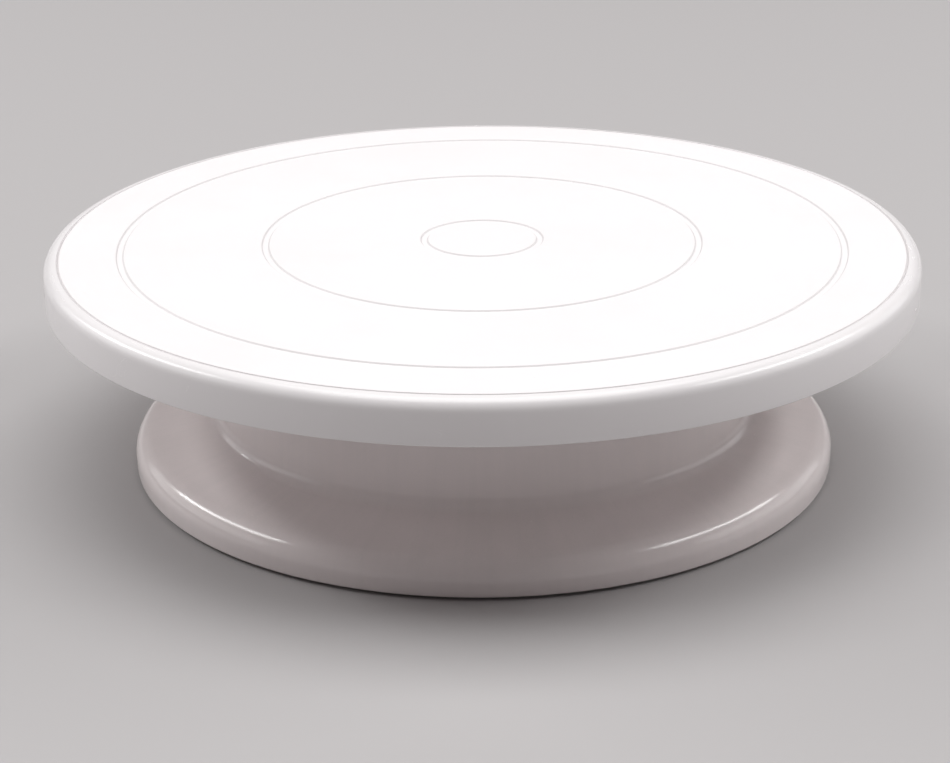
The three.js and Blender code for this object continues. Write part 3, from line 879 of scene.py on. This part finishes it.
def makeLockWasher():
    # A square-sectioned ring with a slanting slit: the section goes round from one side of the slit to
    # the other.
    low, high = boxOf("lock_washer")
    inner, outer = pivot["washerBore"], high[1]
    section = roundedOutline([(inner, low[2], 0.0001), (outer, low[2], 0.00015), (outer, high[2], 0.00015),
                              (inner, high[2], 0.0001)], 4)
    gap = math.asin(pivot["slit"] / 2 / ((inner + outer) / 2))
    angle = np.linspace(gap, 2 * np.pi - gap, facets["small"])[:, None]
    lean = pivot["slitLean"] * (section[:, 1] - low[2]) / inner  # the slit's faces slant
    x, y = section[:, 0] * np.cos(angle + lean), section[:, 0] * np.sin(angle + lean)
    height = np.broadcast_to(section[:, 1], x.shape)
    made = objectOf("lockWasher", [swept(np.stack([x, y, height], axis=-1))])
    return finish(made, "plate", "lock_washer", "fastener_steel", materials["zinc"])


def makeScrew():
    # A pan head, turned, with a cross-shaped recess cut by two tapering blades.
    low, high = boxOf("retaining_screw")
    head, shank = high[0], pivot["screwRadius"]
    headTop = low[2] + pivot["screwHead"]
    outline = roundedOutline([
        (0, low[2]), (head, low[2], 0.0011), (head, headTop, 0.0003), (shank, headTop, 0.0002),
        (shank, high[2], 0.0004), (0, high[2])], 9)
    reach, half, deep = pivot["recess"]
    length, width = (np.array([[1.0], [left]]) for left in pivot["recessTaper"])
    below = 0.0005  # the blade starts this far outside the head
    x = np.array([[-reach, reach, reach, -reach]] * 2) * length
    y = np.array([[-half, -half, half, half]] * 2) * width
    z = np.array([[low[2] - below] * 4, [low[2] + deep] * 4])
    blade = swept(np.stack([x, y, z], axis=-1))
    made = objectOf("retainingScrew", [revolved(outline, facets["small"])])
    cutAway(made, turned(blade, 0), turned(blade, math.pi / 2))
    return finish(made, "plate", "retaining_screw", "fastener_steel", materials["zinc"])


makePin()
makeBush()
makeWasher()
makeLockWasher()
makeScrew()
print("pivot made")


pad = {
    "edge": 0.0007,
    "grooves": [0.0014, 0.0030, 0.0046],  # inner radius of each
    "grooveDepth": 0.0003,
    "grooveWidth": 0.0007,
    "grooveSlope": 0.0001,
    "grooveRounding": 0.0001,
}


def makePad(node):
    low, high = boxOf(node)
    centre, radius = (low + high) / 2, (high[0] - low[0]) / 2
    floor, soft, slope = low[2] + pad["grooveDepth"], pad["grooveRounding"], pad["grooveSlope"]
    corners = [(0, low[2])]
    for start in pad["grooves"]:
        end = start + pad["grooveWidth"]
        corners += [(start, low[2], soft), (start + slope, floor, soft),
                    (end - slope, floor, soft), (end, low[2], soft)]
    corners += [(radius, low[2], pad["edge"]), (radius, high[2], 0.0002), (0, high[2])]
    shell = moved(revolved(roundedOutline(corners, 5), facets["pad"]), (centre[0], centre[1], 0))
    made = objectOf(node.replace("foot_pad_", "footPad"), [shell])
    return finish(made, "pedestal", node, "pad_rubber", materials["rubber"])


for number in range(1, pedestal["gussets"] + 1):
    makePad(f"foot_pad_{number:02d}")
print("pads made")


stage = {
    "floorSize": 14.0,
    "floorColour": (0.45, 0.437, 0.437),
    "floorRoughness": 0.6,
    "worldColour": (0.84, 0.76, 0.77),
    "worldStrength": 0.15,
    "lightTarget": (0, 0, 0.04),
}
camera = {
    "lens": 90.4,
    "sensor": 36.0,
    "nearest": 0.01,
    "elevation": 18.08,
    "distance": 0.771,
    "aim": (-0.0026, -0.0145, -0.0439),  # from the middle of the plate's top
    "roll": -0.42,
}
lights = {  # middle, direction of the long side, long and short side, watts
    "overheadBox": ((0.0, 0.16, 3.8), (1, 0, 0), (3.5, 2.9), 121.0),
    "leftStrip": ((-1.728, 0.442, 1.36), (0.028, -0.743, 0.271), (1.58, 0.28), 16.0),
    "rightStrip": ((1.596, 0.182, 1.512), (-0.072, -0.86, 0.175), (1.76, 0.28), 16.0),
    "leftBox": ((-3.3, 0.80, 1.10), (0, 1, 0), (4.2, 1.3), 19.0),
    "rightBox": ((3.3, 0.80, 1.10), (0, 1, 0), (4.2, 1.3), 19.0),
}


def makeFloor():
    half = stage["floorSize"] / 2
    corners = np.array([(-half, -half, 0), (half, -half, 0), (half, half, 0), (-half, half, 0)])
    mesh = bpy.data.meshes.new("floor")
    mesh.from_pydata(corners.tolist(), [], [(0, 1, 2, 3)])
    floor = bpy.data.objects.new("floor", mesh)
    bpy.context.scene.collection.objects.link(floor)
    material, _, shader, _ = newMaterial("paleFloor")
    shader.inputs["Base Color"].default_value = (*stage["floorColour"], 1)
    shader.inputs["Roughness"].default_value = stage["floorRoughness"]
    mesh.materials.append(material)


def aimed(piece, place, target, along=(1, 0, 0), roll=0.0):
    # Its -Z axis points from its place to the target, and its X axis leans the way of along.
    back = (Vector(place) - Vector(target)).normalized()
    up = back.cross(Vector(along)).normalized()
    turn = Matrix((up.cross(back), up, back)).transposed() @ Matrix.Rotation(math.radians(roll), 3, "Z")
    piece.location = place
    piece.rotation_mode = "QUATERNION"
    piece.rotation_quaternion = turn.to_quaternion()
    bpy.context.scene.collection.objects.link(piece)
    return piece


def makeCamera():
    data = bpy.data.cameras.new("camera")
    data.lens, data.sensor_width, data.clip_start = camera["lens"], camera["sensor"], camera["nearest"]
    top = Vector((0, 0, cadHigh[2]))
    rise = math.radians(camera["elevation"])
    place = top + camera["distance"] * Vector((0, -math.cos(rise), math.sin(rise)))
    target = top + Vector(camera["aim"])
    made = bpy.data.objects.new("camera", data)
    bpy.context.scene.camera = aimed(made, place, target, roll=camera["roll"])


def makeLights():
    for name, (place, along, size, watts) in lights.items():
        data = bpy.data.lights.new(name, "AREA")
        data.shape, data.size, data.size_y, data.energy = "RECTANGLE", size[0], size[1], watts
        made = aimed(bpy.data.objects.new(name, data), place, stage["lightTarget"], along)
        made.visible_camera = False
    world = bpy.data.worlds.new("studio")
    world.use_nodes = True
    sky = world.node_tree.nodes["Background"]
    sky.inputs["Color"].default_value = (*stage["worldColour"], 1)
    sky.inputs["Strength"].default_value = stage["worldStrength"]
    bpy.context.scene.world = world
    bpy.context.scene.view_settings.view_transform = "Standard"


makeFloor()
makeCamera()
makeLights()
print("stage made")
